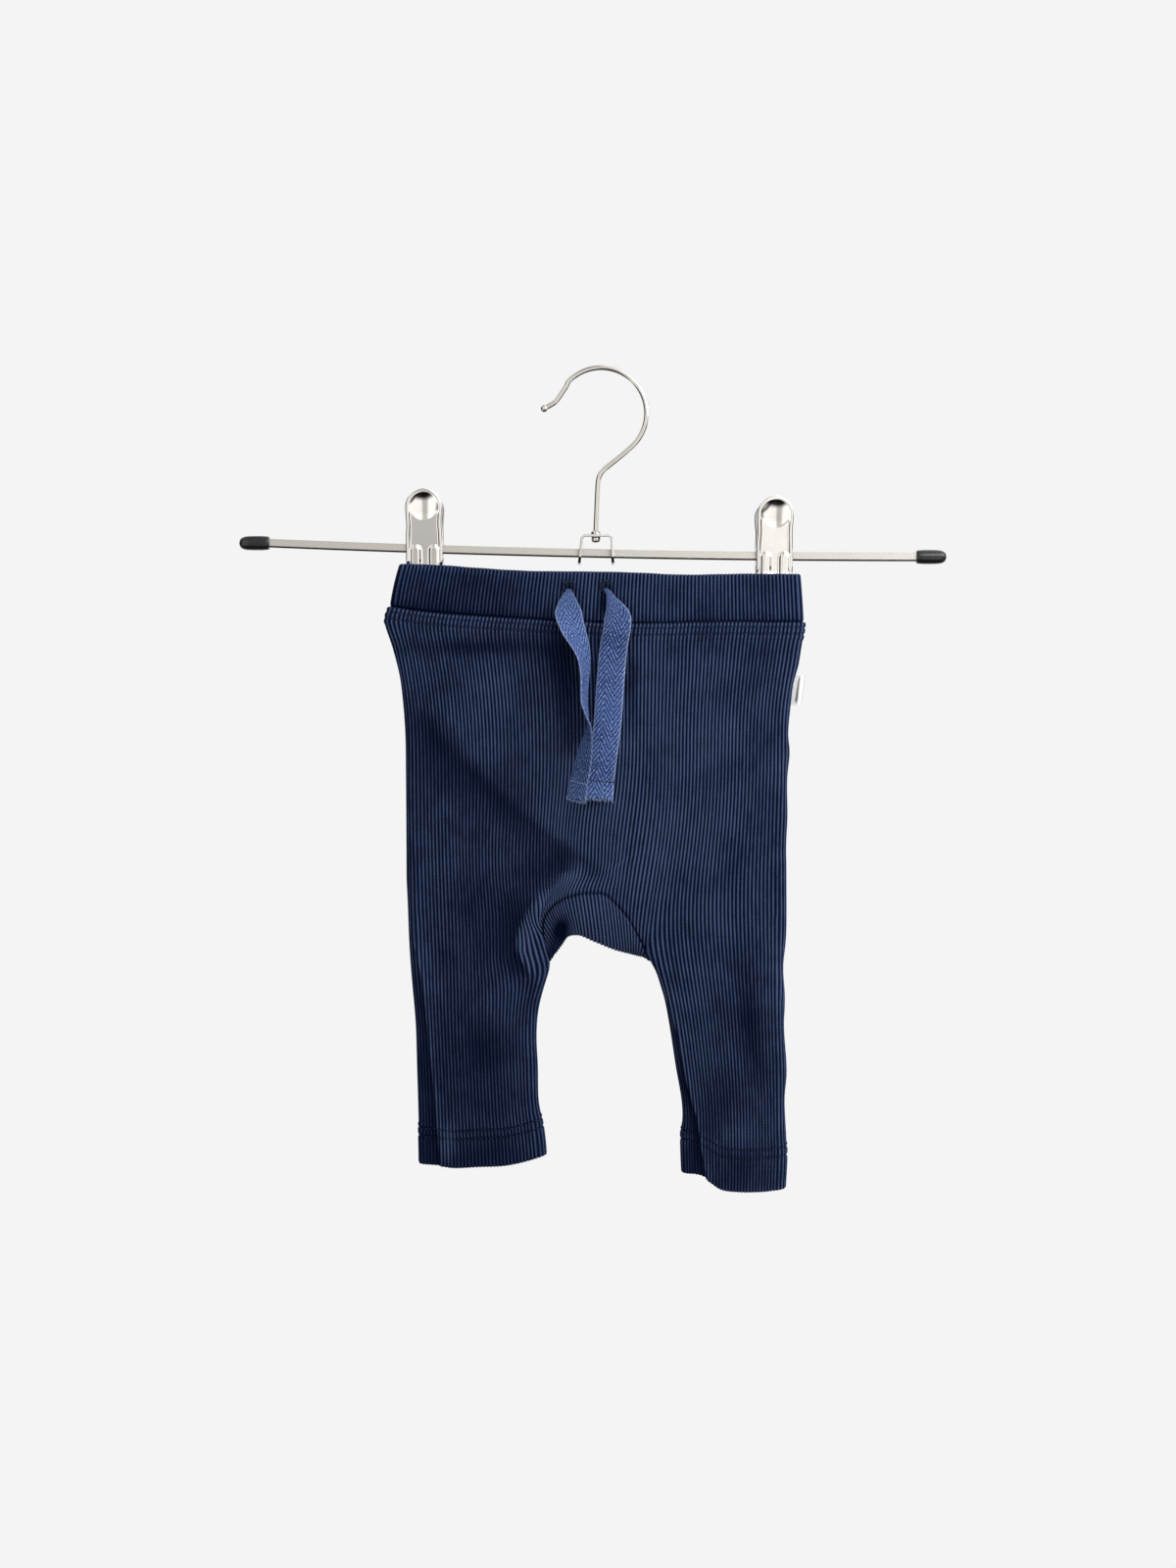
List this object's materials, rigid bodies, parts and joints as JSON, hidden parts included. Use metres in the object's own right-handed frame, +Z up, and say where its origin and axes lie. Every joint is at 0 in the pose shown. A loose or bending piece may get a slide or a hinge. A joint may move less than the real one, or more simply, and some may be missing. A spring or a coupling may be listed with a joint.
{
  "type": "ribbed leggings on a clip hanger",
  "caption": "Baby leggings in ribbed knit with a drawstring waistband and a crotch gusset, hung flat by the waistband from a wire-hook bar hanger with spring clips.",
  "frame": {"origin": "the place on the inside of the wire hook's bend that bears on whatever the hanger hangs from", "axes": "+Z up along the hanger's stem, -Y out of the garment's front, +X to the viewer's right"},
  "size_m": [0.347, 0.0368, 0.4054],
  "materials": {
    "waistband_knit": "ribbed jersey, faded on the ribs",
    "body_knit": "ribbed jersey, faded on the ribs",
    "tape": "herringbone tape",
    "label": "plain woven tape",
    "steel": "polished",
    "cap": "glossy"
  },
  "bodies": {
    "root": {"waistband": "waistband_knit", "front_panel": "body_knit", "back_panel": "body_knit", "gusset": "body_knit", "drawstring_left": "tape", "drawstring_right": "tape", "side_label": "label", "hanger_bar": "steel", "end_cap_left": "cap", "end_cap_right": "cap", "hanger_hook": "steel", "hook_bracket": "steel", "clip_left_front": "steel", "clip_left_back": "steel", "clip_left_spring": "steel", "clip_right_front": "steel", "clip_right_back": "steel", "clip_right_spring": "steel"}
  },
  "joints": []
}
